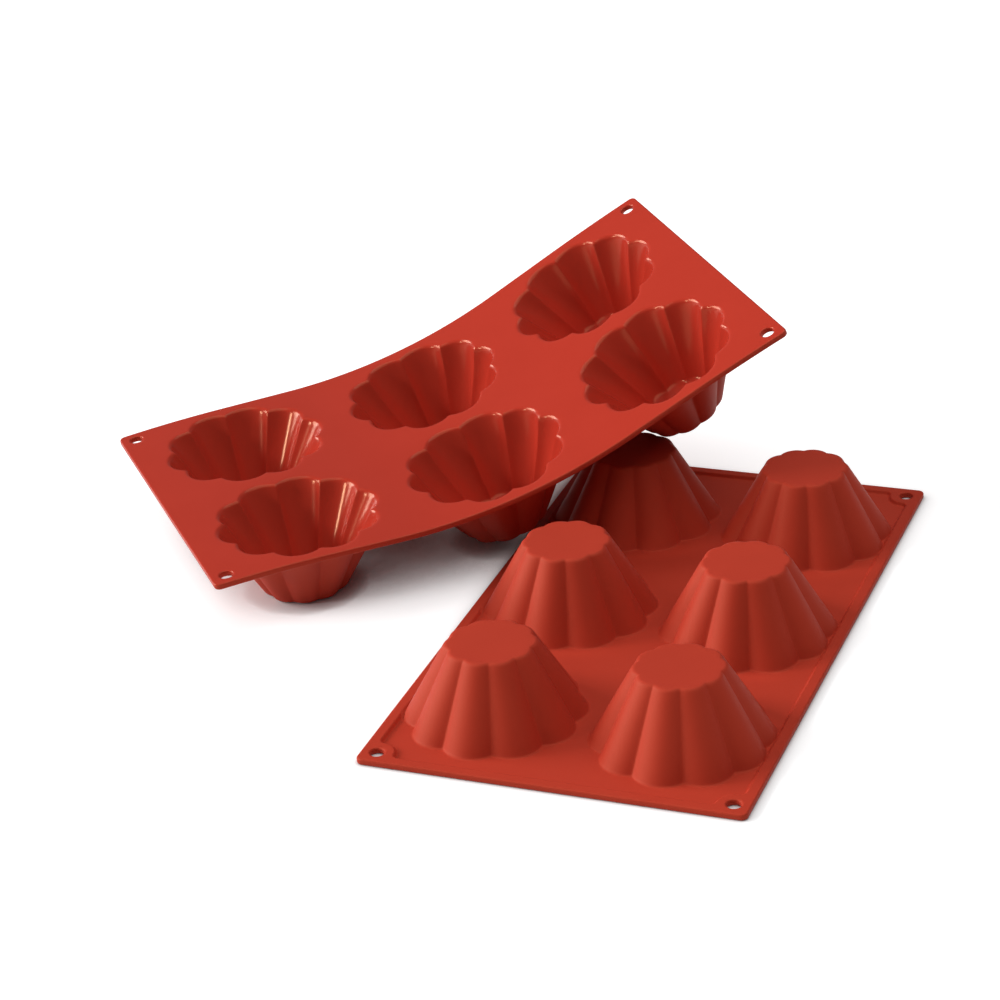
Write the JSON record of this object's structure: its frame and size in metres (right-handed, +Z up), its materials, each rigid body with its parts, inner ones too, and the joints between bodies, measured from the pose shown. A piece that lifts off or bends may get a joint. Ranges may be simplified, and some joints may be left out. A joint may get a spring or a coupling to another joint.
{
  "type": "silicone baking mould",
  "caption": "Pair of flexible silicone baking moulds with fluted brioche cups in a rimmed sheet, one upside down, the other leaning on it.",
  "frame": {"origin": "middle of the lower mould's face that lies on the table", "axes": "+Z up, +Y along the lower mould's length towards its back, +X across it to the right"},
  "size_m": [0.3893, 0.3951, 0.107],
  "materials": {
    "sheet_silicone": "satin moulded silicone",
    "cup_silicone": "moulded silicone, glossy inside and satin outside"
  },
  "bodies": {
    "lower_back": {"lower_back_panel": "sheet_silicone", "lower_back_middle_flex_web": "sheet_silicone", "lower_back_left_cup_wall": "cup_silicone", "lower_back_right_cup_wall": "cup_silicone"},
    "lower_middle": {"lower_middle_panel": "sheet_silicone", "lower_middle_front_flex_web": "sheet_silicone", "lower_middle_left_cup_wall": "cup_silicone", "lower_middle_right_cup_wall": "cup_silicone"},
    "lower_front": {"lower_front_panel": "sheet_silicone", "lower_front_left_cup_wall": "cup_silicone", "lower_front_right_cup_wall": "cup_silicone"},
    "upper_standing": {"upper_standing_panel": "sheet_silicone", "upper_standing_middle_flex_web": "sheet_silicone", "upper_standing_far_cup_wall": "cup_silicone", "upper_standing_near_cup_wall": "cup_silicone"},
    "upper_middle": {"upper_middle_panel": "sheet_silicone", "upper_middle_raised_flex_web": "sheet_silicone", "upper_middle_far_cup_wall": "cup_silicone", "upper_middle_near_cup_wall": "cup_silicone"},
    "upper_raised": {"upper_raised_panel": "sheet_silicone", "upper_raised_far_cup_wall": "cup_silicone", "upper_raised_near_cup_wall": "cup_silicone"},
    "lower_back_left_floor": {"lower_back_left_cup_floor": "cup_silicone"},
    "lower_back_right_floor": {"lower_back_right_cup_floor": "cup_silicone"},
    "lower_middle_left_floor": {"lower_middle_left_cup_floor": "cup_silicone"},
    "lower_middle_right_floor": {"lower_middle_right_cup_floor": "cup_silicone"},
    "lower_front_left_floor": {"lower_front_left_cup_floor": "cup_silicone"},
    "lower_front_right_floor": {"lower_front_right_cup_floor": "cup_silicone"},
    "upper_standing_far_floor": {"upper_standing_far_cup_floor": "cup_silicone"},
    "upper_standing_near_floor": {"upper_standing_near_cup_floor": "cup_silicone"},
    "upper_middle_far_floor": {"upper_middle_far_cup_floor": "cup_silicone"},
    "upper_middle_near_floor": {"upper_middle_near_cup_floor": "cup_silicone"},
    "upper_raised_far_floor": {"upper_raised_far_cup_floor": "cup_silicone"},
    "upper_raised_near_floor": {"upper_raised_near_cup_floor": "cup_silicone"}
  },
  "joints": [
    {"name": "lower_middle_flex", "type": "hinge", "parent": "lower_back", "child": "lower_middle", "pos_m": [0, 0.04805, 0], "axis": [-1, 0, 0], "range_deg": [0, 30], "stiffness_Nm_per_rad": 0.02, "deforming": ["lower_back_middle_flex_web"]},
    {"name": "lower_front_flex", "type": "hinge", "parent": "lower_middle", "child": "lower_front", "pos_m": [0, -0.04805, 0], "axis": [-1, 0, 0], "range_deg": [0, 65], "stiffness_Nm_per_rad": 0.02, "deforming": ["lower_middle_front_flex_web"]},
    {"name": "upper_lift", "type": "slide", "parent": "lower_back", "child": "upper_standing", "axis": [0, 0, 1], "range_m": [0, 0.15]},
    {"name": "upper_middle_flex", "type": "hinge", "parent": "upper_standing", "child": "upper_middle", "pos_m": [-0.16881, 0.05699, 0.03945], "axis": [0.6713, -0.7409, -0.0219], "range_deg": [0, 45], "stiffness_Nm_per_rad": 0.02, "springref_deg": -11.46, "deforming": ["upper_standing_middle_flex_web"]},
    {"name": "upper_raised_flex", "type": "hinge", "parent": "upper_middle", "child": "upper_raised", "pos_m": [-0.09964, 0.11949, 0.06091], "axis": [0.6814, -0.7309, -0.0378], "range_deg": [0, 45], "stiffness_Nm_per_rad": 0.02, "springref_deg": -11.46, "deforming": ["upper_middle_raised_flex_web"]},
    {"name": "lower_back_left_push", "type": "slide", "parent": "lower_back", "child": "lower_back_left_floor", "axis": [0, 0, -1], "range_m": [0, 0.02], "stiffness_N_per_m": 300},
    {"name": "lower_back_right_push", "type": "slide", "parent": "lower_back", "child": "lower_back_right_floor", "axis": [0, 0, -1], "range_m": [0, 0.02], "stiffness_N_per_m": 300},
    {"name": "lower_middle_left_push", "type": "slide", "parent": "lower_middle", "child": "lower_middle_left_floor", "axis": [0, 0, -1], "range_m": [0, 0.02], "stiffness_N_per_m": 300},
    {"name": "lower_middle_right_push", "type": "slide", "parent": "lower_middle", "child": "lower_middle_right_floor", "axis": [0, 0, -1], "range_m": [0, 0.02], "stiffness_N_per_m": 300},
    {"name": "lower_front_left_push", "type": "slide", "parent": "lower_front", "child": "lower_front_left_floor", "axis": [0, 0, -1], "range_m": [0, 0.02], "stiffness_N_per_m": 300},
    {"name": "lower_front_right_push", "type": "slide", "parent": "lower_front", "child": "lower_front_right_floor", "axis": [0, 0, -1], "range_m": [0, 0.02], "stiffness_N_per_m": 300},
    {"name": "upper_standing_far_push", "type": "slide", "parent": "upper_standing", "child": "upper_standing_far_floor", "axis": [-0.0072, -0.0232, 0.9997], "range_m": [0, 0.02], "stiffness_N_per_m": 300},
    {"name": "upper_standing_near_push", "type": "slide", "parent": "upper_standing", "child": "upper_standing_near_floor", "axis": [-0.0072, -0.0232, 0.9997], "range_m": [0, 0.02], "stiffness_N_per_m": 300},
    {"name": "upper_middle_far_push", "type": "slide", "parent": "upper_middle", "child": "upper_middle_far_floor", "axis": [-0.1453, -0.1736, 0.974], "range_m": [0, 0.02], "stiffness_N_per_m": 300},
    {"name": "upper_middle_near_push", "type": "slide", "parent": "upper_middle", "child": "upper_middle_near_floor", "axis": [-0.1453, -0.1736, 0.974], "range_m": [0, 0.02], "stiffness_N_per_m": 300},
    {"name": "upper_raised_far_push", "type": "slide", "parent": "upper_raised", "child": "upper_raised_far_floor", "axis": [-0.2762, -0.3175, 0.9072], "range_m": [0, 0.02], "stiffness_N_per_m": 300},
    {"name": "upper_raised_near_push", "type": "slide", "parent": "upper_raised", "child": "upper_raised_near_floor", "axis": [-0.2762, -0.3175, 0.9072], "range_m": [0, 0.02], "stiffness_N_per_m": 300}
  ]
}
